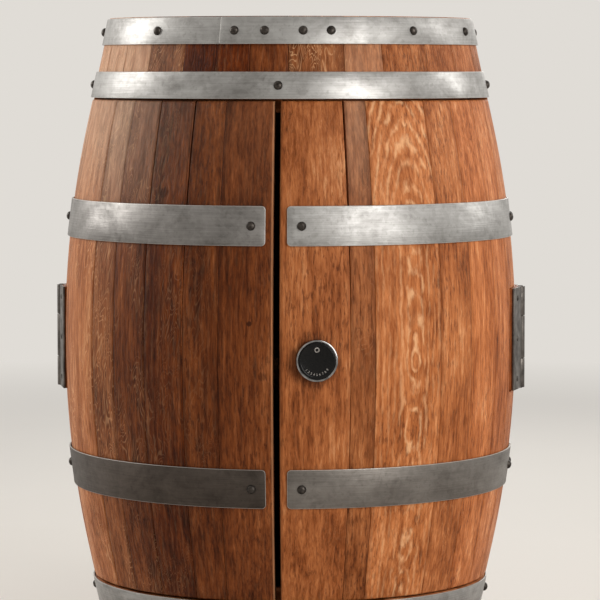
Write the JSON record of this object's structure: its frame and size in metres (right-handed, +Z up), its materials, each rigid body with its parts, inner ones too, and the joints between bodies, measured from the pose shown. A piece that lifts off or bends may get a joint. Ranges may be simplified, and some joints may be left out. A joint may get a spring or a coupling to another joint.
{
  "type": "barrel bar cabinet",
  "caption": "Oak whisky barrel standing on end, made into a bar cabinet with two bowed doors, hoop straps, side hinges, a dial lock, an inner bolt and a shelf.",
  "frame": {"origin": "middle of the bottom end, on the floor", "axes": "+Z up along the barrel's axis, -Y out of the doors, +X to the right seen from the front"},
  "size_m": [0.668, 0.6518, 0.9],
  "materials": {
    "aged_oak": "stained and oiled, satin",
    "head_oak": "stained and oiled, satin",
    "inner_oak": "oiled, matte",
    "galvanised_steel": "galvanised, mottled and scuffed",
    "dark_steel": "dark, satin",
    "chrome": "polished",
    "black_gloss": "gloss"
  },
  "bodies": {
    "barrel_body": {"rear_staves": "aged_oak", "upper_front_staves": "aged_oak", "lower_front_staves": "aged_oak", "top_head_boards": "head_oak", "bottom_head_boards": "head_oak", "upper_door_stop": "inner_oak", "lower_door_stop": "inner_oak", "shelf_boards": "inner_oak", "shelf_cleats": "inner_oak", "shelf_bearer": "inner_oak", "top_chime_hoop": "galvanised_steel", "bottom_chime_hoop": "galvanised_steel", "top_quarter_hoop": "galvanised_steel", "bottom_quarter_hoop": "galvanised_steel", "rear_upper_bilge_hoop": "galvanised_steel", "rear_lower_bilge_hoop": "galvanised_steel", "rear_hoop_rivets": "dark_steel", "left_hinge_body_leaf": "dark_steel", "right_hinge_body_leaf": "dark_steel", "left_hinge_pin": "dark_steel", "right_hinge_pin": "dark_steel", "left_hinge_body_block": "inner_oak", "right_hinge_body_block": "inner_oak"},
    "left_door": {"left_door_stave_1": "aged_oak", "left_door_stave_2": "aged_oak", "left_door_stave_3": "aged_oak", "left_door_stave_4": "aged_oak", "left_door_stave_5": "aged_oak", "left_door_stave_6": "aged_oak", "left_door_stave_7": "aged_oak", "left_upper_batten": "inner_oak", "left_lower_batten": "inner_oak", "left_upper_strap": "galvanised_steel", "left_lower_strap": "galvanised_steel", "left_strap_rivets": "dark_steel", "left_hinge_door_leaf": "dark_steel", "left_hinge_door_block": "inner_oak", "bolt_plate": "dark_steel"},
    "right_door": {"right_door_stave_1": "aged_oak", "right_door_stave_2": "aged_oak", "right_door_stave_3": "aged_oak", "right_door_stave_4": "aged_oak", "right_door_stave_5": "aged_oak", "right_door_stave_6": "aged_oak", "right_door_stave_7": "aged_oak", "right_upper_batten": "inner_oak", "right_lower_batten": "inner_oak", "right_upper_strap": "galvanised_steel", "right_lower_strap": "galvanised_steel", "right_strap_rivets": "dark_steel", "right_hinge_door_leaf": "dark_steel", "right_hinge_door_block": "inner_oak", "lock_case": "chrome", "lock_back_plate": "dark_steel"},
    "lock": {"lock_dial": "black_gloss", "lock_tongue": "dark_steel", "lock_tongue_screw": "dark_steel"},
    "bolt": {"sliding_bolt": "dark_steel"}
  },
  "joints": [
    {"name": "right_door_hinge", "type": "hinge", "parent": "barrel_body", "child": "right_door", "pos_m": [0.3275, 0, 0.45], "axis": [0, 0, 1], "range_deg": [0, 165]},
    {"name": "left_door_hinge", "type": "hinge", "parent": "barrel_body", "child": "left_door", "pos_m": [-0.3275, 0, 0.45], "axis": [0, 0, -1], "range_deg": [0, 165]},
    {"name": "lock_turn", "type": "hinge", "parent": "right_door", "child": "lock", "pos_m": [0.0535, -0.3155, 0.4437], "axis": [0.1672, -0.9859, 0], "range_deg": [0, 90]},
    {"name": "bolt_slide", "type": "slide", "parent": "left_door", "child": "bolt", "axis": [0.0128, 0.1626, 0.9866], "range_m": [0, 0.016]}
  ]
}
